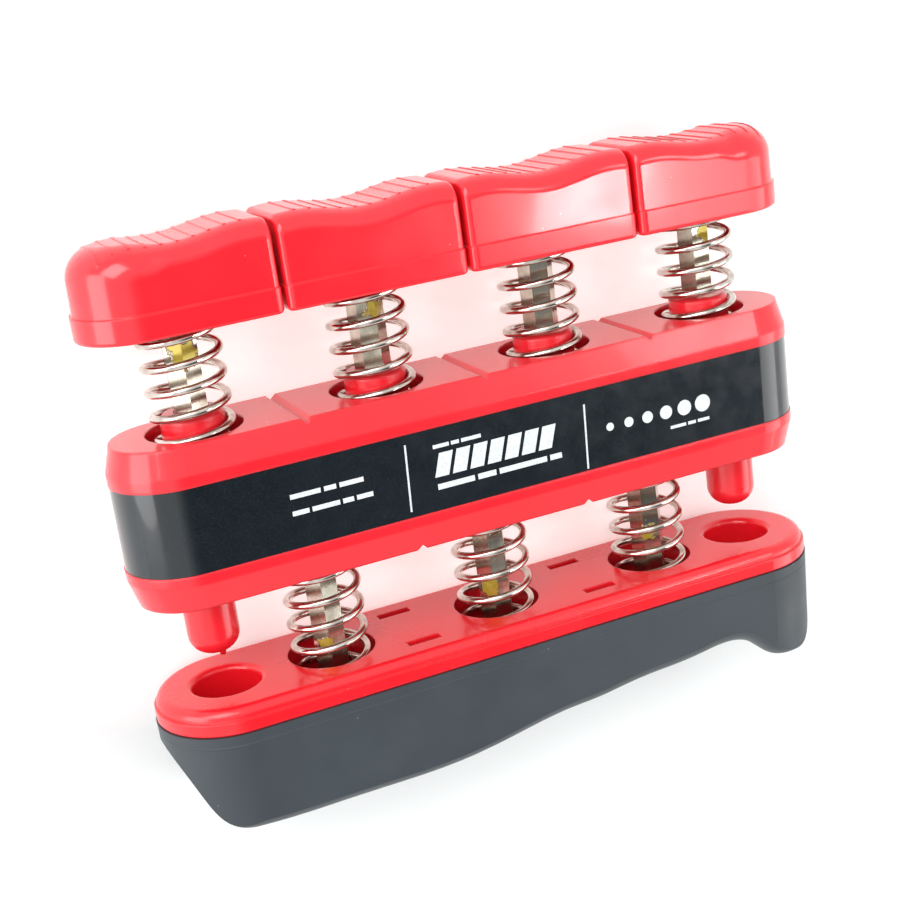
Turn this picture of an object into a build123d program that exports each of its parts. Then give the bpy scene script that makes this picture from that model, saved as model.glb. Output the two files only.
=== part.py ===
"""Spring finger exerciser lying on its back.

X runs along the row of finger keys, +Y is the way the keys face, +Z leaves the label face.
Every piece is built about the middle body's own centre line and moved to the row frame at the end.
Sizes are in millimetres.
"""
from build123d import *
import os
from math import atan, degrees, pi, radians, sin, tan

# overall
PITCH = 19.5  # finger to finger, and palm spring to palm spring
HALF_LENGTH = 2 * PITCH - 0.1
KEY_ROW_HALF = HALF_LENGTH + 0.2
ROW_X = -0.45  # the key row and its wells sit this far off the palm bar's middle
BODY_X = -0.25
BODY_HALF_DEPTH = 6.6
KEY_HALF_DEPTH = 6.1
PALM_HALF_DEPTH = 8.0

# levels along Y, from the palm up
GRIP_LOW = -31.05
PLATE_LOW = -19.5
PLATE_STEP = -18.0
PLATE_TOP = -16.8
BODY_LOW = -6.3
BODY_SPLIT = 2.0
BODY_TOP = 10.4
KEY_LOW = 21.0
KEY_STEP = 23.6
KEY_DIP = 29.5
KEY_CREST = 30.35

# body
WALL = 1.5
SHOULDER_IN = 0.8
SHOULDER_TALL = 2.8
LABEL_LOW = -2.4
LABEL_TOP = 6.4
LABEL_THICK = 0.3
LABEL_RECESS = 0.4
GROOVE = 0.75
PEG_X = HALF_LENGTH - 7.6
PEG_R = 2.7
PEG_LONG = 6.85

# springs, wells and posts
WIRE = 0.82
COIL_OD = 8.54
COIL_PITCH = 2.5
KEY_WELL_R = COIL_OD / 2 + 0.69
PALM_WELL_R = COIL_OD / 2 + 0.45
KEY_WELL_FLOOR = 4.5
LOWER_WELL_FLOOR = -0.5
PALM_WELL_FLOOR = -24.0
CUP_R = KEY_WELL_R + 0.79
COLLAR_R = COIL_OD / 2 - WIRE - 0.18
COLLAR_TALL = 1.8
LIP = 1.5
HEX_AF = 3.3
HEX_GAP = 0.05
HEAD_R = 2.35
HEAD_THICK = 1.2
HEAD_GAP = 0.35
BOSS_R = HEAD_R + HEAD_GAP + 0.8
SOCKET_R = PEG_R + 0.88
SOCKET_DEEP = 8.0
SOCKET_X = PEG_X - 0.1
SOCKET_LIP = 0.65
SEAT_GAP = 0.1  # left between faces that meet at the end of a stroke

# keys
KEY_GAP = 0.35
KEY_WALL = 1.3
KEY_STEP_IN = 0.25
KEY_LEAN = 1.0
KEY_CEILING = 26.9
KEY_BOSS_R = HEX_AF / 2 + 1.45
KEY_BOSS_LOW = 24.2
KEY_POST_TOP = 27.9
KEY_ROUND = 2.0  # along the front and back shoulders
KEY_END_ROUND = 3.2  # over the outer end of the first and last key
KEY_SIDE_ROUND = 0.6
KEY_SADDLE = 7.2  # half the width of the finger saddle
RIBS = 10
RIB_PITCH = 1.56
RIB_WIDE = 0.3
RIB_TALL = 0.08
RIB_REACH = 4.1

# palm bar
PALM_FLOOR = 1.2
SLOT_X = PITCH / 2 + 0.85
SLOT_Z = 4.4
SLOT_LONG = 3.7
SLOT_WIDE = 1.2
GRIP_ROUND = 2.4
GRIP_FLOOR = -25.9

# how far each hexagonal post is turned about its own axis, in degrees
KEY_TURNS = [22, 44, 48, -1]
PALM_TURNS = [12, 4, 53]

KEY_X = [ROW_X + (n - 1.5) * PITCH for n in range(4)]
PALM_X = [(n - 1) * PITCH for n in range(3)]
KEY_TRAVEL = KEY_LOW - BODY_TOP - SEAT_GAP
PALM_TRAVEL = BODY_LOW - PLATE_TOP - SEAT_GAP


def column(sketch, low, high, taper=0):
    """Extrude a plan sketch (X, -Z) along +Y between two levels; taper narrows it upward."""
    base = Plane(origin=(0, low, 0), x_dir=(1, 0, 0), z_dir=(0, 1, 0))
    return extrude(base * sketch, amount=high - low, taper=taper)


def stadium(half_length, half_depth):
    return SlotOverall(2 * half_length, 2 * half_depth)


def rod(x, radius, low, high):
    return column(Pos(x, 0) * Circle(radius), low, high)


def hexagon(x, across_flats, turn=0):
    return Pos(x, 0) * RegularPolygon(across_flats / 2, 6, major_radius=False, rotation=turn)


def ends_at(shape, level):
    """Edges lying wholly at one height along Y."""
    return shape.edges().filter_by_position(Axis.Y, level - 0.001, level + 0.001)


def post(x, turn, low, high, head_low, above):
    """Hexagonal post with a round retaining head at its inner end."""
    bar = column(hexagon(x, HEX_AF, turn), low, high)
    head = rod(x, HEAD_R, head_low, head_low + HEAD_THICK)
    blunt = chamfer(ends_at(head, head_low if above else head_low + HEAD_THICK), 0.25)
    return bar + blunt


def coil(x, low, high):
    """Compression spring whose end turns lie on the two seats."""
    radius = (COIL_OD - WIRE) / 2
    tall = high - low - WIRE
    turns = round(tall / COIL_PITCH * 2) / 2
    path = Helix(tall / turns, tall, radius, center=(x, low + WIRE / 2, 0), direction=(0, 1, 0))
    section = Plane(origin=path @ 0, z_dir=path % 0) * Circle(WIRE / 2)
    return sweep(section, path=path)


def slanted(plan, low, high):
    """Extrude a plan whose low and high rims lean inward over the shoulder height."""
    lean = degrees(atan(SHOULDER_IN / SHOULDER_TALL))
    middle = column(plan, low + SHOULDER_TALL, high - SHOULDER_TALL)
    upper = column(plan, high - SHOULDER_TALL, high, taper=lean)
    lower = mirror(column(plan, -low - SHOULDER_TALL, -low, taper=lean), about=Plane.XZ)
    return lower + middle + upper


def label_ring(inset, thick):
    """Closed band round the body's middle, its outer face set in by the given amount."""
    outer = stadium(HALF_LENGTH - inset, BODY_HALF_DEPTH - inset)
    inner = stadium(HALF_LENGTH - inset - thick, BODY_HALF_DEPTH - inset - thick)
    return column(outer - inner, LABEL_LOW, LABEL_TOP)


def shell_blank(low, high):
    """Slice of the body between two levels, hollow, with the label's recess cut."""
    inner = stadium(HALF_LENGTH - WALL - SHOULDER_IN, BODY_HALF_DEPTH - WALL - SHOULDER_IN + 0.4)
    whole = slanted(stadium(HALF_LENGTH, BODY_HALF_DEPTH), BODY_LOW, BODY_TOP)
    recess = label_ring(0, LABEL_RECESS)
    hollow = column(inner, BODY_LOW + WALL, BODY_TOP - WALL)
    keep = column(Rectangle(4 * HALF_LENGTH, 4 * BODY_HALF_DEPTH), low, high)
    return Pos(BODY_X, 0, 0) * ((whole - recess - hollow) & keep)


def grooves():
    """V-grooves across the body's top and bottom, between the wells."""
    cuts = []
    for x in PALM_X:
        x += ROW_X
        notch = Plane.XY * Pos(x, BODY_TOP) * Rot(0, 0, 45) * Rectangle(GROOVE, GROOVE)
        cuts.append(extrude(notch, amount=BODY_HALF_DEPTH + 1, both=True))
    for x in (-PITCH / 2, PITCH / 2):
        notch = Plane.XY * Pos(x, BODY_LOW) * Rot(0, 0, 45) * Rectangle(GROOVE, GROOVE)
        cuts.append(extrude(notch, amount=BODY_HALF_DEPTH + 1, both=True))
    return cuts


def guide(x, turn, mouth, lip_low, lip_high, bore_low, bore_high):
    """Space for one post: a hexagonal hole through the lip and a round bore for its head."""
    hole = column(hexagon(x, HEX_AF + 2 * HEX_GAP, turn), lip_low, lip_high)
    return hole + rod(x, HEAD_R + HEAD_GAP, bore_low, bore_high)


def upper_shell():
    body = shell_blank(BODY_SPLIT, BODY_TOP)
    collar_top = BODY_TOP + COLLAR_TALL
    bore_low = collar_top - LIP - HEAD_THICK - KEY_TRAVEL - 0.3
    for x, turn in zip(KEY_X, KEY_TURNS):
        body += rod(x, CUP_R, KEY_WELL_FLOOR - WALL, BODY_TOP)
        body -= rod(x, KEY_WELL_R, KEY_WELL_FLOOR, BODY_TOP + 1)
        collar = rod(x, COLLAR_R, KEY_WELL_FLOOR - WALL, collar_top)
        body += chamfer(ends_at(collar, collar_top), 0.35)
        body += rod(x, BOSS_R, bore_low, KEY_WELL_FLOOR - WALL)
        body -= guide(x, turn, collar_top, collar_top - LIP, collar_top, bore_low, collar_top - LIP)
    for cut in grooves():
        body -= cut
    return body


def lower_shell():
    body = shell_blank(BODY_LOW, BODY_SPLIT)
    bore_high = BODY_LOW + LIP + HEAD_THICK + PALM_TRAVEL + 0.3
    for x, turn in zip(PALM_X, PALM_TURNS):
        body += rod(x, CUP_R, BODY_LOW, LOWER_WELL_FLOOR + WALL)
        body -= rod(x, KEY_WELL_R, BODY_LOW - 1, LOWER_WELL_FLOOR)
        body += rod(x, COLLAR_R, BODY_LOW, LOWER_WELL_FLOOR + WALL)
        body += rod(x, BOSS_R, LOWER_WELL_FLOOR + WALL, bore_high)
        body -= guide(x, turn, BODY_LOW, BODY_LOW, BODY_LOW + LIP, BODY_LOW + LIP, bore_high)
    for side in (-1, 1):
        peg = rod(BODY_X + side * PEG_X, PEG_R, BODY_LOW - PEG_LONG, BODY_LOW + WALL)
        body += fillet(ends_at(peg, BODY_LOW - PEG_LONG), PEG_R - 0.6)
    for cut in grooves():
        body -= cut
    return body


def outward(index):
    """-1 and 1 for the keys at the row's two ends, 0 for the others."""
    return {0: -1, 3: 1}.get(index, 0)


def saddle(offset):
    """Height of a key's finger saddle at an offset from the key's centre."""
    if abs(offset) < KEY_SADDLE:
        return KEY_DIP + (KEY_CREST - KEY_DIP) * sin(pi / 2 * offset / KEY_SADDLE) ** 2
    return KEY_CREST - 0.03 * (abs(offset) - KEY_SADDLE) ** 2


def key_plan(index, inset, gap):
    """Plan of one key, with a round outer end on the first and last."""
    x, depth, side = KEY_X[index], KEY_HALF_DEPTH - inset, outward(index)
    half = PITCH / 2 - gap
    if side == 0:
        return Pos(x, 0) * Rectangle(2 * half, 2 * depth)
    inner, centre = x - side * half, ROW_X + side * (KEY_ROW_HALF - KEY_HALF_DEPTH)
    square = Pos((inner + centre) / 2, 0) * Rectangle(abs(centre - inner), 2 * depth)
    return square + Pos(centre, 0) * Circle(depth)


def key_outline(top, shoulder, half=False):
    """Corners of a key's cross-section: leaning sides and rounded shoulders."""
    low = KEY_STEP - 0.2
    depth = KEY_HALF_DEPTH - KEY_STEP_IN
    lean = tan(radians(KEY_LEAN)) * (top - low)
    if half:
        face = Polygon((0, low), (depth, low), (depth - lean, top), (0, top), align=None)
        return fillet(face.vertices().filter_by(lambda v: v.X > 1 and v.Y > low + 1), shoulder)
    face = Polygon((-depth, low), (depth, low), (depth - lean, top), (lean - depth, top), align=None)
    return fillet(face.vertices().filter_by(lambda v: v.Y > low + 1), shoulder)


def key_upper(index):
    """Upper part of a key: a loft through cross-sections, turned about the outer end if it has one."""
    x, side = KEY_X[index], outward(index)
    half = PITCH / 2 - KEY_GAP / 2 - 0.1
    steps = [n / 10 * half for n in range(-10, 11)]
    turn = ROW_X + side * (KEY_ROW_HALF - KEY_HALF_DEPTH) - x
    if side:
        steps = [s for s in steps if s * side < turn * side - 0.6] + [turn]
    sections = []
    for s in sorted(steps):
        shoulder = KEY_ROUND
        if side and s * side > 0:
            shoulder += (KEY_END_ROUND - KEY_ROUND) * sin(pi / 2 * s / turn) ** 2
        plane = Plane(origin=(x + s, 0, 0), x_dir=(0, 0, 1), z_dir=(-1, 0, 0))
        sections.append(plane * key_outline(saddle(s), shoulder))
    body = loft(sections)
    if side:
        plane = Plane(origin=(x + turn, 0, 0), x_dir=(0, 0, side), z_dir=(-side, 0, 0))
        profile = plane * key_outline(saddle(turn), KEY_END_ROUND, half=True)
        body += revolve(profile, Axis((x + turn, 0, 0), (0, 1, 0)), 180)
    ends = [x - half, x + half] if side == 0 else [x - side * half]
    rims = [e for e in body.edges() if min(abs(e.center().X - end) for end in ends) < 0.01
            and e.center().Y > KEY_STEP]
    return fillet(rims, KEY_SIDE_ROUND)


def key_ribs(index, upper):
    """Fine raised ribs across the saddle: slices of the key's own top, lifted a little."""
    slices = []
    for n in range(RIBS):
        offset = (n - (RIBS - 1) / 2) * RIB_PITCH
        slices.append(Pos(KEY_X[index] + offset, KEY_CREST, 0) * Box(RIB_WIDE, 5, 2 * RIB_REACH))
    return Pos(0, RIB_TALL, 0) * upper & Compound(children=slices)


def key_cap(index):
    x = KEY_X[index]
    band = column(key_plan(index, 0, KEY_GAP / 2), KEY_LOW, KEY_STEP)
    corners = [e for e in band.edges().filter_by(Axis.Y) if abs(abs(e.center().X - x) - PITCH / 2) < KEY_GAP
               and outward(index) * (e.center().X - x) <= 0 and abs(e.center().Z) > KEY_HALF_DEPTH - 0.01]
    band = fillet(corners, 0.8)
    upper = key_upper(index)
    body = band + upper + key_ribs(index, upper)
    body = fillet(ends_at(body, KEY_LOW), 0.4)
    inside = key_plan(index, KEY_WALL + 0.25, KEY_WALL + 0.25)
    body -= column(inside, KEY_LOW - 1, KEY_CEILING)
    body += rod(x, KEY_BOSS_R, KEY_BOSS_LOW, KEY_CEILING + 0.2)
    return body - column(hexagon(x, HEX_AF, KEY_TURNS[index]), KEY_BOSS_LOW - 1, KEY_POST_TOP)


def palm_plate():
    plan = stadium(HALF_LENGTH, PALM_HALF_DEPTH)
    island = column(stadium(HALF_LENGTH - 0.25, PALM_HALF_DEPTH - 0.25), PLATE_LOW, PLATE_TOP)
    island = fillet(ends_at(island, PLATE_TOP), 1.0)
    band = column(plan, PLATE_LOW, PLATE_STEP)
    body = island + chamfer(ends_at(band, PLATE_LOW), 0.2)
    body += column(stadium(HALF_LENGTH - 2.5, PALM_HALF_DEPTH - 2.5), PLATE_LOW - 1.2, PLATE_LOW)
    body -= column(stadium(HALF_LENGTH - 3.4, PALM_HALF_DEPTH - 3.4), PLATE_LOW - 2, PLATE_TOP - 1.6)
    floor = PALM_WELL_FLOOR - PALM_FLOOR
    for x, turn in zip(PALM_X, PALM_TURNS):
        body += rod(x, PALM_WELL_R + 0.9, floor, PLATE_TOP - 0.8)
        body -= rod(x, PALM_WELL_R, PALM_WELL_FLOOR, PLATE_TOP + 1)
        body -= column(hexagon(x, HEX_AF, turn), floor - 1, PALM_WELL_FLOOR + 1)
    for side in (-1, 1):
        body += rod(side * SOCKET_X, SOCKET_R + 0.9, PLATE_TOP - SOCKET_DEEP - 0.9, PLATE_TOP - 0.8)
        body -= rod(side * SOCKET_X, SOCKET_R, PLATE_TOP - SOCKET_DEEP, PLATE_TOP + 1)
        mouth = body.edges().filter_by(GeomType.CIRCLE).filter_by_position(
            Axis.Y, PLATE_TOP - 0.001, PLATE_TOP + 0.001).sort_by(Axis.X)
        rim = [e for e in mouth if abs(e.radius - SOCKET_R) < 0.01 and e.center().X * side > 25]
        body = fillet(rim, SOCKET_LIP)
    for x in (-SLOT_X, SLOT_X):
        for z in (-SLOT_Z, SLOT_Z):
            body -= Pos(x, PLATE_TOP, z) * Box(SLOT_LONG, 5, SLOT_WIDE)
    return body


GRIP_SPAN = 38.9  # half-length that the points below belong to
GRIP_LINE = [
    (-40.6, -18.0), (-39.2, -20.8), (-37.8, -24.0), (-36.4, -27.2), (-35.0, -29.4), (-33.0, -30.6),
    (-30, -30.9), (-23, -31.0), (-15, -31.05), (-8.3, -30.8), (-0.8, -29.65), (5.6, -28.85),
    (11.8, -28.2), (17.3, -27.8), (21.5, -27.4), (25, -27.1), (27.8, -27.85), (30.3, -29.95),
    (32.3, -30.75), (35, -30.35), (37.2, -28.4), (38.6, -24.9), (39.8, -20.5)]


def grip_section(x, low):
    """Cross-section of the grip at x, its two lower corners rounded; the top is trimmed later."""
    high = PLATE_LOW + 8
    plane = Plane(origin=(x, (low + high) / 2, 0), x_dir=(0, 1, 0), z_dir=(1, 0, 0))
    return plane * RectangleRounded(high - low, 2 * PALM_HALF_DEPTH + 0.2, GRIP_ROUND)


def palm_grip():
    stretch = HALF_LENGTH / GRIP_SPAN
    bar = loft([grip_section(x * stretch, low) for x, low in GRIP_LINE])
    plan = stadium(HALF_LENGTH + 0.1, PALM_HALF_DEPTH + 0.1)
    tub = mirror(column(plan, -PLATE_LOW, -GRIP_LOW + 1, taper=1.5), about=Plane.XZ)
    well = column(stadium(HALF_LENGTH - 2.4, PALM_HALF_DEPTH - 2.4), GRIP_FLOOR, PLATE_LOW + 1)
    return (bar & tub) - well


pieces = {
    "upper_shell": upper_shell(),
    "lower_shell": lower_shell(),
    "label_band": Pos(BODY_X, 0, 0) * label_ring(LABEL_RECESS - LABEL_THICK, LABEL_THICK),
    "palm_plate": palm_plate(),
    "palm_grip": palm_grip(),
}
collar_top = BODY_TOP + COLLAR_TALL
for n, (x, turn) in enumerate(zip(KEY_X, KEY_TURNS)):
    head_low = collar_top - LIP - HEAD_THICK
    pieces[f"key_cap_{n + 1}"] = key_cap(n)
    pieces[f"key_post_{n + 1}"] = post(x, turn, head_low + HEAD_THICK, KEY_POST_TOP, head_low, True)
    pieces[f"key_spring_{n + 1}"] = coil(x, KEY_WELL_FLOOR, KEY_CEILING)
for n, (x, turn) in enumerate(zip(PALM_X, PALM_TURNS)):
    head_low = BODY_LOW + LIP
    pieces[f"palm_post_{n + 1}"] = post(x, turn, PALM_WELL_FLOOR - PALM_FLOOR, head_low, head_low, False)
    pieces[f"palm_spring_{n + 1}"] = coil(x, PALM_WELL_FLOOR, LOWER_WELL_FLOOR)

whole = Compound(children=[shape.solid() for shape in pieces.values()]).bounding_box()
lift = Pos(-(whole.min.X + whole.max.X) / 2, -(whole.min.Y + whole.max.Y) / 2, -whole.min.Z)
os.makedirs("parts", exist_ok=True)
for name, shape in pieces.items():
    placed = lift * shape
    placed.label = name
    export_step(placed, f"parts/{name}.step")
print("moved by", lift.position)
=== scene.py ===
"""Looks of the spring finger exerciser: red plastic keys and shells, nickel springs, black label and grip."""
import math
import bmesh
import bpy
from mathutils import Matrix, Vector


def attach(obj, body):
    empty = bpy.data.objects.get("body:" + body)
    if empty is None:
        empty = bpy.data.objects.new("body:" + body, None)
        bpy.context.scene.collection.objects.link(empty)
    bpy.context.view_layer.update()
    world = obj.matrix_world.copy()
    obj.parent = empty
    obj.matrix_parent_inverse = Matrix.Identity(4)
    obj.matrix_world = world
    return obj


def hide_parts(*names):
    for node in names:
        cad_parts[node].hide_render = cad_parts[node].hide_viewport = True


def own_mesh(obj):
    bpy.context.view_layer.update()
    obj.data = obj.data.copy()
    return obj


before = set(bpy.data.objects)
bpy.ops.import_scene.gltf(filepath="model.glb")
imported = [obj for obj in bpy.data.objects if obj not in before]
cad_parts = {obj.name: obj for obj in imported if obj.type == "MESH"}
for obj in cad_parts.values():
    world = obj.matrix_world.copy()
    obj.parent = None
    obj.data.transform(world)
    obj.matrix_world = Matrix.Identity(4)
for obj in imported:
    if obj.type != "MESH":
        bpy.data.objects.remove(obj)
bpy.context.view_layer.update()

MM = 0.001

# In millimetres: how far the design's own centre line and the posts' axis stand from the frame's origin.
LIFT_X = 0.275
LIFT_Y = 0.3105
AXIS_Z = 8.1

# the springs and posts, along X
PITCH = 19.5
ROW_X = -0.45
KEY_X = [LIFT_X + ROW_X + (n - 1.5) * PITCH for n in range(4)]
PALM_X = [LIFT_X + (n - 1) * PITCH for n in range(3)]

# the springs' seats, along Y, and how far a joint brings them together
KEY_FLOOR = 4.5 + LIFT_Y
KEY_CEILING = 26.9 + LIFT_Y
PALM_FLOOR = -24.0 + LIFT_Y
LOWER_FLOOR = -0.5 + LIFT_Y

WIRE_D = 0.82
COIL_R = 3.86
CLOSED_PITCH = WIRE_D * 1.03
OPEN_PITCH = 2.5
STEPS_A_TURN = 40

PARTING_LINE = -20.7 + LIFT_Y
LABEL_Z = 14.6
INK_TALL = 0.03
INK_Z = LABEL_Z + 0.005
PEG_END = (-31.0 + LIFT_X, -13.35 + LIFT_Y, AXIS_Z)


def linear(code):
    """Linear RGBA of an sRGB hex colour."""
    parts = [int(code[i:i + 2], 16) / 255 for i in (1, 3, 5)]
    return tuple(c / 12.92 if c <= 0.04045 else ((c + 0.055) / 1.055) ** 2.4 for c in parts) + (1.0,)


def node(tree, kind, inputs, output=0, **settings):
    """Add a shader node and give one of its outputs. An input is a value, or the output that feeds it.

    A Mix node's sockets 0, 6 and 7 are its factor and two colours, and its colour comes out at 2. A Map Range
    node's sockets 0 to 4 are the value, the range that it comes from and the range that it goes to.
    """
    made = tree.nodes.new("ShaderNode" + kind)
    for key, value in settings.items():
        setattr(made, key, value)
    for key, value in inputs.items():
        if isinstance(value, bpy.types.NodeSocket):
            tree.links.new(value, made.inputs[key])
        elif value is not None:
            made.inputs[key].default_value = value
    return made.outputs[output]


def millimetres(tree, stretch=(1, 1, 1)):
    """Object coordinates in millimetres. A stretch below 1 draws a pattern out along that axis."""
    place = node(tree, "TexCoord", {}, "Object")
    return node(tree, "Mapping", {"Vector": place, "Scale": [1000 * s for s in stretch]})


def patches(tree, where, size, low, high, detail=2.0, start=0.3, end=0.7):
    """A value that wanders from low to high in patches of about this many millimetres."""
    cloud = node(tree, "TexNoise", {"Vector": where, "Scale": 1 / size, "Detail": detail})
    return node(tree, "MapRange", {0: cloud, 1: start, 2: end, 3: low, 4: high})


def relief(tree, where, size, depth, under=None):
    """Swells of about this many millimetres across and deep, over the normal given."""
    height = node(tree, "TexNoise", {"Vector": where, "Scale": 1 / size, "Detail": 2.0})
    return node(tree, "Bump", {"Height": height, "Distance": depth * MM, "Strength": 1.0, "Normal": under})


def specks(tree, where, spacing, size, share):
    """Sparse dots: one in each cell of the given spacing, kept for a share of the cells."""
    near = node(tree, "TexVoronoi", {"Vector": where, "Scale": 1 / spacing}, "Distance", feature="F1")
    dot = node(tree, "MapRange", {0: near, 1: size / spacing * 0.5, 2: size / spacing, 3: 1, 4: 0})
    pick = node(tree, "SeparateColor", {0: near.node.outputs["Color"]})
    kept = node(tree, "Math", {0: pick, 1: share}, operation="LESS_THAN")
    return node(tree, "Math", {0: dot, 1: kept}, operation="MULTIPLY")


def thin_line(tree, where, level, half):
    """1 in a line round the piece at this level along Y."""
    y = node(tree, "SeparateXYZ", {0: where}, 1)
    away = node(tree, "Math", {0: y, 1: level}, operation="SUBTRACT")
    away = node(tree, "Math", {0: away}, operation="ABSOLUTE")
    return node(tree, "MapRange", {0: away, 1: half * 0.5, 2: half, 3: 1, 4: 0})


def material(name, **values):
    """New material with values set on its own shader."""
    made = bpy.data.materials.new(name)
    made.use_nodes = True
    shader = made.node_tree.nodes["Principled BSDF"]
    for key, value in values.items():
        shader.inputs[key.replace("_", " ")].default_value = value
    return made, made.node_tree, shader


def connect(tree, shader, **sockets):
    """Feed the shader's inputs."""
    for key, socket in sockets.items():
        tree.links.new(socket, shader.inputs[key.replace("_", " ")])


def moulded_red(name, deep, bright, gloss, edge):
    """Gloss injection-moulded ABS: softened edges, orange peel, dust specks and short scuffs."""
    made, tree, shader = material(name, Coat_Weight=0.3, Coat_Roughness=0.05)
    where = millimetres(tree)
    cloud = patches(tree, where, 14, 0, 1)
    base = node(tree, "Mix", {0: cloud, 6: linear(deep), 7: linear(bright)}, 2, data_type="RGBA")
    dust = specks(tree, where, 2.6, 0.09, 0.3)
    colour = node(tree, "Mix", {0: dust, 6: base, 7: linear("#ff8f88")}, 2, data_type="RGBA")
    scuff = specks(tree, millimetres(tree, (0.12, 1, 1)), 1.9, 0.05, 0.18)
    normal = node(tree, "Bevel", {"Radius": edge * MM}, samples=6)
    normal = relief(tree, where, 2.4, 0.008, normal)
    normal = relief(tree, where, 0.2, 0.0008, normal)
    normal = node(tree, "Bump", {"Height": scuff, "Distance": 0.002 * MM, "Strength": 1.0, "Normal": normal})
    rough = patches(tree, where, 5, gloss, gloss + 0.07, 4)
    connect(tree, shader, Base_Color=colour, Roughness=rough, Normal=normal)
    return made


def printed_film():
    """Gloss laminated polyester film, printed black from behind, with a fine metallic fleck."""
    made, tree, shader = material("label film, gloss laminated print", Coat_Weight=0.5, Coat_Roughness=0.04)
    where = millimetres(tree)
    fleck = patches(tree, where, 0.13, 0, 1, 2, 0.5, 0.75)
    cloud = patches(tree, where, 9, 0, 1)
    dust = specks(tree, where, 3.4, 0.08, 0.3)
    base = node(tree, "Mix", {0: cloud, 6: linear("#0b1217"), 7: linear("#11191f")}, 2, data_type="RGBA")
    colour = node(tree, "Mix", {0: fleck, 6: base, 7: linear("#1c262e")}, 2, data_type="RGBA")
    colour = node(tree, "Mix", {0: dust, 6: colour, 7: linear("#9aa4aa")}, 2, data_type="RGBA")
    normal = relief(tree, where, 0.3, 0.0006, relief(tree, where, 6, 0.01))
    rough = patches(tree, where, 2, 0.16, 0.24, 3)
    connect(tree, shader, Base_Color=colour, Roughness=rough, Normal=normal)
    return made


def ink():
    """Screen-printed white ink, slightly uneven over the film."""
    made, tree, shader = material("label ink, screen-printed white", Roughness=0.4)
    where = millimetres(tree)
    cloud = patches(tree, where, 0.14, 0, 1)
    colour = node(tree, "Mix", {0: cloud, 6: linear("#b9c1c5"), 7: linear("#dfe3e4")}, 2, data_type="RGBA")
    connect(tree, shader, Base_Color=colour, Normal=relief(tree, where, 0.1, 0.003))
    return made


def soft_touch():
    """Soft-touch rubber, matte, with lint, dust and the mould's parting line under the rim."""
    made, tree, shader = material("grip, soft-touch thermoplastic rubber", Sheen_Weight=0.05,
                                  Sheen_Roughness=0.5)
    where = millimetres(tree)
    cloud = patches(tree, where, 16, 0, 1)
    dust = specks(tree, where, 2.0, 0.09, 0.4)
    lint = specks(tree, millimetres(tree, (0.25, 1, 0.4)), 3.0, 0.08, 0.2)
    base = node(tree, "Mix", {0: cloud, 6: linear("#2b3237"), 7: linear("#31393f")}, 2, data_type="RGBA")
    colour = node(tree, "Mix", {0: dust, 6: base, 7: linear("#8d9498")}, 2, data_type="RGBA")
    colour = node(tree, "Mix", {0: lint, 6: colour, 7: linear("#6d7478")}, 2, data_type="RGBA")
    normal = relief(tree, where, 6, 0.03, relief(tree, where, 0.16, 0.004))
    seam = thin_line(tree, where, PARTING_LINE, 0.12)
    normal = node(tree, "Bump", {"Height": seam, "Distance": 0.05 * MM, "Strength": 1.0, "Normal": normal})
    rough = patches(tree, where, 4, 0.44, 0.54, 3)
    connect(tree, shader, Base_Color=colour, Roughness=rough, Normal=normal)
    return made


def plated_wire():
    """Bright nickel plating on drawn spring wire, slightly tarnished."""
    made, tree, shader = material("spring, nickel-plated music wire", Metallic=1.0)
    where = millimetres(tree)
    tarnish = patches(tree, where, 1.4, 0, 1, 4)
    colour = node(tree, "Mix", {0: tarnish, 6: linear("#dcd6ce"), 7: linear("#b3aa9f")}, 2, data_type="RGBA")
    rough = node(tree, "MapRange", {0: tarnish, 1: 0, 2: 1, 3: 0.08, 4: 0.2})
    connect(tree, shader, Base_Color=colour, Roughness=rough, Normal=relief(tree, where, 0.1, 0.003))
    return made


# smears of grease on the posts: where each lies in the design, and its radius
GREASE = [(-29.9, 18.2, 1.7, 1.5), (-9.6, 18.6, 1.6, 1.2), (29.8, 19.4, 1.6, 1.3), (-20.4, -15.6, 1.5, 0.9),
          (-1.2, -14.6, 1.6, 1.2), (18.8, -13.2, 1.6, 0.9), (9.4, 20.4, 1.4, 0.6)]


def grease(tree, where):
    """1 inside any of the smears, whose outlines are uneven."""
    wobble = patches(tree, where, 0.9, -0.5, 0.5, 3)
    smear = None
    for x, y, z, size in GREASE:
        centre = (x + LIFT_X, y + LIFT_Y, z + AXIS_Z)
        away = node(tree, "VectorMath", {0: where, 1: centre}, "Value", operation="DISTANCE")
        away = node(tree, "Math", {0: away, 1: wobble}, operation="ADD")
        spot = node(tree, "MapRange", {0: away, 1: size * 0.85, 2: size * 1.05, 3: 1, 4: 0})
        smear = spot if smear is None else node(tree, "Math", {0: smear, 1: spot}, operation="MAXIMUM")
    return smear


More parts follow.
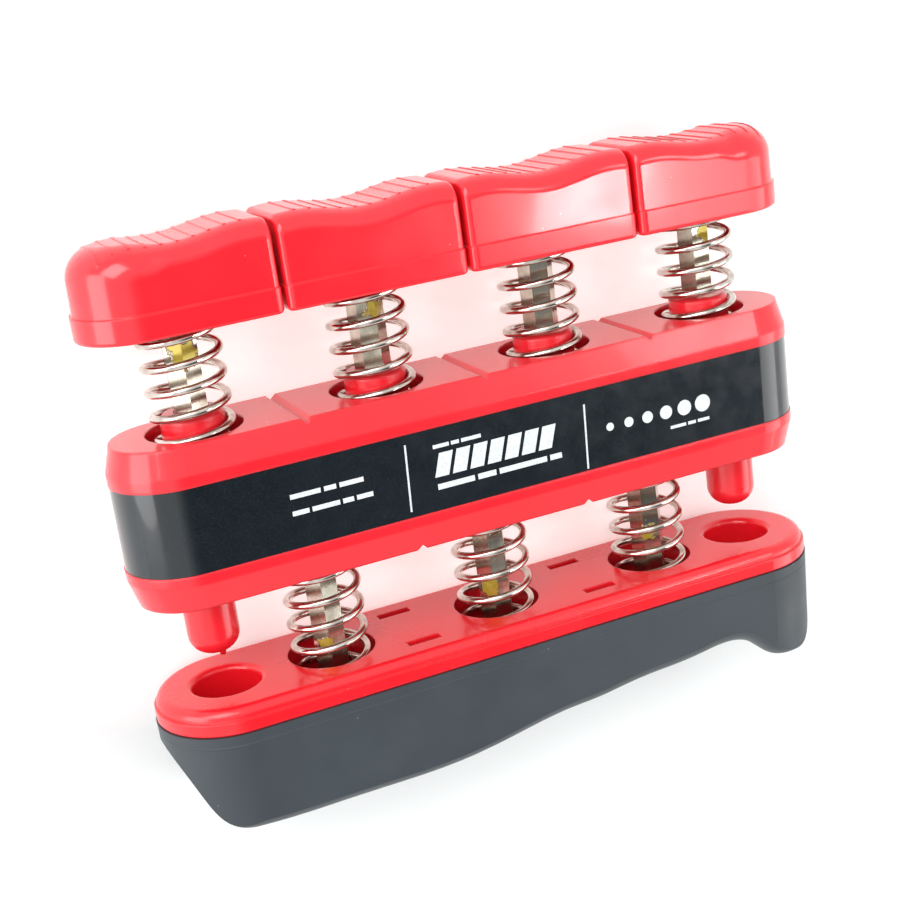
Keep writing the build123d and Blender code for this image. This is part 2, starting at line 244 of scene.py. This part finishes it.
def plated_bar():
    """Plated hexagonal bar with draw lines along it and smears of assembly grease."""
    made, tree, shader = material("post, zinc-plated drawn bar")
    where = millimetres(tree)
    along = millimetres(tree, (4, 0.25, 4))
    lines = node(tree, "TexNoise", {"Vector": along, "Scale": 1 / 0.5, "Detail": 4.0, "Roughness": 0.6})
    cloud = node(tree, "TexNoise", {"Vector": where, "Scale": 1 / 2.2, "Detail": 4.0})
    shade = node(tree, "MapRange", {0: cloud, 1: 0.3, 2: 0.7, 3: 0, 4: 1})
    metal = node(tree, "Mix", {0: shade, 6: linear("#d9d5c8"), 7: linear("#aaa492")}, 2, data_type="RGBA")
    smear = grease(tree, where)
    colour = node(tree, "Mix", {0: smear, 6: metal, 7: linear("#b9a63e")}, 2, data_type="RGBA")
    normal = node(tree, "Bump", {"Height": lines, "Distance": 0.006 * MM, "Strength": 1.0})
    normal = node(tree, "Bump", {"Height": smear, "Distance": 0.12 * MM, "Strength": 1.0, "Normal": normal})
    metallic = node(tree, "MapRange", {0: smear, 1: 0, 2: 1, 3: 1, 4: 0.25})
    rough = node(tree, "MapRange", {0: cloud, 1: 0.3, 2: 0.7, 3: 0.14, 4: 0.3})
    connect(tree, shader, Base_Color=colour, Metallic=metallic, Roughness=rough, Normal=normal)
    return made


RED_KEY = moulded_red("key, gloss moulded ABS", "#e01b27", "#e8222e", 0.16, 0.25)
RED_BODY = moulded_red("shell, gloss moulded ABS", "#d81a26", "#df212d", 0.2, 0.45)
RED_PLATE = moulded_red("plate, gloss moulded ABS", "#d8131f", "#de1a26", 0.22, 0.3)
FILM = printed_film()
INK = ink()
RUBBER = soft_touch()
WIRE = plated_wire()
BAR = plated_bar()

FINISH = {
    "key_cap": RED_KEY,
    "upper_shell": RED_BODY,
    "lower_shell": RED_BODY,
    "palm_plate": RED_PLATE,
    "label_band": FILM,
    "palm_grip": RUBBER,
    "key_post": BAR,
    "palm_post": BAR,
    "key_spring": WIRE,
    "palm_spring": WIRE,
}
for name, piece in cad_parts.items():
    for start, finish in FINISH.items():
        if name.startswith(start):
            piece.data.materials.clear()
            piece.data.materials.append(finish)


def finish_piece(name, mesh_bm, finish, body, smooth=True, cad=()):
    """Turn a bmesh in row-frame metres into a piece that rides on a body and stands for CAD nodes."""
    data = bpy.data.meshes.new(name)
    if smooth:
        for face in mesh_bm.faces:
            face.smooth = True
    mesh_bm.to_mesh(data)
    mesh_bm.free()
    data.materials.append(finish)
    made = bpy.data.objects.new(name, data)
    bpy.context.scene.collection.objects.link(made)
    if body:
        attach(made, body)
    if cad:
        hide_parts(*cad)
    return made


def spring(name, x, low, high, turn):
    """Right-handed compression spring, made by three spins: closed turns, open turns and closed turns."""
    bm = bmesh.new()
    ring = bmesh.ops.create_circle(bm, segments=12, radius=WIRE_D / 2 * MM)
    start = Matrix.Rotation(math.radians(turn), 4, "Y") @ Matrix.Translation((COIL_R * MM, 0, 0))
    bmesh.ops.transform(bm, verts=ring["verts"], matrix=start)
    shift = Matrix.Translation((x * MM, (low + WIRE_D / 2) * MM, AXIS_Z * MM))
    bmesh.ops.transform(bm, verts=ring["verts"], matrix=shift)
    open_tall = high - low - WIRE_D - 2 * CLOSED_PITCH
    turns = round(open_tall / OPEN_PITCH)
    edge = list(bm.edges)
    for count, pitch in ((1, CLOSED_PITCH), (turns, open_tall / turns), (1, CLOSED_PITCH)):
        rise = pitch / STEPS_A_TURN * MM
        made = bmesh.ops.spin(bm, geom=edge, cent=(x * MM, 0, AXIS_Z * MM), axis=(0, 1, 0), dvec=(0, rise, 0),
                              angle=2 * math.pi * count, steps=STEPS_A_TURN * count, use_duplicate=False)
        edge = [g for g in made["geom_last"] if isinstance(g, bmesh.types.BMEdge)]
    bmesh.ops.holes_fill(bm, edges=bm.edges, sides=16)
    bmesh.ops.recalc_face_normals(bm, faces=bm.faces)
    coil = finish_piece(name + "_coil", bm, WIRE, "middle_body", cad=[name])
    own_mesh(coil)


for n, x in enumerate(KEY_X):
    spring(f"key_spring_{n + 1}", x, KEY_FLOOR, KEY_CEILING, -32 - 25 * n)
for n, x in enumerate(PALM_X):
    spring(f"palm_spring_{n + 1}", x, PALM_FLOOR, LOWER_FLOOR, -71 - 25 * n)


def print_bar(bm, x, y, wide, tall, lean=0.0):
    """One printed bar, 0.02 mm proud of the film, its centre at x and y of the design in millimetres."""
    made = bmesh.ops.create_cube(bm, size=1)
    shape = Matrix.Diagonal((wide * MM, tall * MM, INK_TALL * MM, 1))
    place = Matrix.Translation(((x + LIFT_X) * MM, (y + LIFT_Y) * MM, INK_Z * MM))
    tilt = Matrix.Identity(4)
    tilt[0][1] = lean
    bmesh.ops.transform(bm, verts=made["verts"], matrix=place @ tilt @ shape)


def print_dot(bm, x, y, radius):
    """One printed disc, as proud as a bar."""
    made = bmesh.ops.create_cone(bm, cap_ends=True, segments=40, radius1=radius * MM, radius2=radius * MM,
                                 depth=INK_TALL * MM)
    place = Matrix.Translation(((x + LIFT_X) * MM, (y + LIFT_Y) * MM, INK_Z * MM))
    bmesh.ops.transform(bm, verts=made["verts"], matrix=place)


def print_row(bm, x0, x1, y, tall, widths, lean=0.0):
    """A row of plain blocks of the given relative widths, in place of a line of words."""
    gap = 0.55
    unit = (x1 - x0) / (sum(widths) + gap * (len(widths) - 1))
    x = x0
    for wide in widths:
        print_bar(bm, x + wide * unit / 2, y, wide * unit, tall, lean)
        x += (wide + gap) * unit


# the label: two dividing lines, rows of blocks, and dots that grow with the strength of the spring
bm = bmesh.new()
for x, y in ((-10.5, 1.8), (9.95, 1.35)):
    print_bar(bm, x, y, 0.2, 7.1, 0.04)
print_row(bm, -23.0, -15.2, 3.0, 0.5, (5, 2, 4))
print_row(bm, -23.0, -14.4, 1.25, 0.5, (3, 5, 2, 3))
print_row(bm, -7.4, -2.0, 4.4, 0.4, (4, 2, 5))
print_row(bm, -7.2, 6.2, 2.4, 2.5, (2, 2, 2, 2, 2, 2, 2), 0.3)
print_row(bm, -7.4, 6.9, 0.1, 0.6, (6, 3, 8, 2))
for n in range(6):
    print_dot(bm, 12.9 + 2.3 * n, 1.75, 0.45 + 0.1 * n)
print_row(bm, 20.2, 25.1, -0.1, 0.35, (4, 2, 3))
finish_piece("label_print", bm, INK, "middle_body", smooth=False)

# the moulding gate's nub on the end of the left peg
bm = bmesh.new()
made = bmesh.ops.create_cone(bm, cap_ends=True, segments=24, radius1=0.5 * MM, radius2=0.3 * MM,
                             depth=1.0 * MM)
turn = Matrix.Rotation(math.radians(90), 4, "X")
place = Matrix.Translation([MM * v for v in PEG_END])
bmesh.ops.transform(bm, verts=made["verts"], matrix=place @ turn)
finish_piece("peg_gate_nub", bm, RED_BODY, "middle_body")


def paper_sweep_with_painted_glow():
    """Matt white paper with a painted pool of light: it glows softly in an oval, most under the part's
    middle, fading to none around it.
    """
    made, tree, shader = material("floor, white paper sweep", Roughness=0.55)
    where = millimetres(tree)
    cloud = patches(tree, where, 60, 0, 1)
    tone = node(tree, "Mix", {0: cloud, 6: linear("#e6e8e8"), 7: linear("#eceeee")}, 2, data_type="RGBA")
    # painted light: the paper emits light in an oval pool centred under the part, strongest in the middle and
    # fading to none further out
    oval = node(tree, "Mapping", {0: where, 1: (0, -0.12, 0), 3: (1 / 58, 1 / 31, 0)})
    far = node(tree, "VectorMath", {0: oval}, "Value", operation="LENGTH")
    glow = node(tree, "MapRange", {0: far, 1: 0.6, 2: 1.1, 3: 0.55, 4: 0.0})
    connect(tree, shader, Base_Color=tone, Normal=relief(tree, where, 0.6, 0.01), Emission_Strength=glow)
    shader.inputs["Emission Color"].default_value = linear("#fffaf6")
    return made


bm = bmesh.new()
bmesh.ops.create_grid(bm, x_segments=1, y_segments=1, size=2.0)
floor = finish_piece("floor", bm, paper_sweep_with_painted_glow(), None, smooth=False)


def softbox(name, place, aim, size, power):
    """A white rectangular lamp at a place, facing its aim; metres and watts."""
    light = bpy.data.lights.new(name, "AREA")
    light.shape = "RECTANGLE"
    light.size, light.size_y = size
    light.energy = power
    made = bpy.data.objects.new(name, light)
    made.location = place
    made.rotation_euler = (Vector(aim) - Vector(place)).to_track_quat("-Z", "Y").to_euler()
    bpy.context.scene.collection.objects.link(made)


softbox("window", (-0.35, 0.45, 0.45), (0, 0, 0), (0.5, 0.4), 3)
softbox("left wall", (-0.6, 0.05, 0.2), (0, 0, 0), (0.5, 0.4), 2.3)
softbox("right wall", (0.52, -0.2, 0.34), (0.03, 0, 0.014), (0.42, 0.36), 1.15)
softbox("shelf", (0.337, 0.153, 0.505), (0.025, 0.009, 0.013), (0.12, 0.1), 0.25)
softbox("pane", (0.289, -0.047, 0.543), (0.014, 0.027, 0.014), (0.06, 0.05), 0.26)
softbox("curtain", (0.37, -0.06, 0.50), (0.028, 0.024, 0.014), (0.10, 0.16), 0.16)

# a white room with a dark patch overhead, where the viewer stands over the table
VIEWER = (0.36, -0.30, 0.883)
world = bpy.data.worlds.new("room")
world.use_nodes = True
tree = world.node_tree
away = node(tree, "TexCoord", {}, "Generated")
toward = node(tree, "VectorMath", {0: away, 1: VIEWER}, "Value", operation="DOT_PRODUCT")
glow = node(tree, "MapRange", {0: toward, 1: 0.80, 2: 0.95, 3: 1.05, 4: 0.1})
paint = tree.nodes["Background"]
paint.inputs[0].default_value = linear("#ffffff")
tree.links.new(glow, paint.inputs[1])
scene = bpy.context.scene
scene.world = world
scene.view_settings.view_transform = "Standard"

# the camera hangs over the keys' left end; its place is in the design's millimetres
EYE = (-62.30, 52.22, 151.90)
EYE_RIGHT = (0.90861, -0.12852, 0.39739)
EYE_BACK = (-0.34706, 0.29699, 0.88958)
LENS = 64.08
camera = bpy.data.cameras.new("camera")
camera.sensor_width = 36
camera.lens = LENS
camera.clip_start = 0.01
eye = bpy.data.objects.new("camera", camera)
back = Vector(EYE_BACK).normalized()
up = back.cross(Vector(EYE_RIGHT).normalized()).normalized()
right = up.cross(back)
turn = Matrix((right, up, back)).transposed().to_4x4()
eye.matrix_world = Matrix.Translation([MM * (a + b) for a, b in zip(EYE, (LIFT_X, LIFT_Y, AXIS_Z))]) @ turn
scene.collection.objects.link(eye)
scene.camera = eye
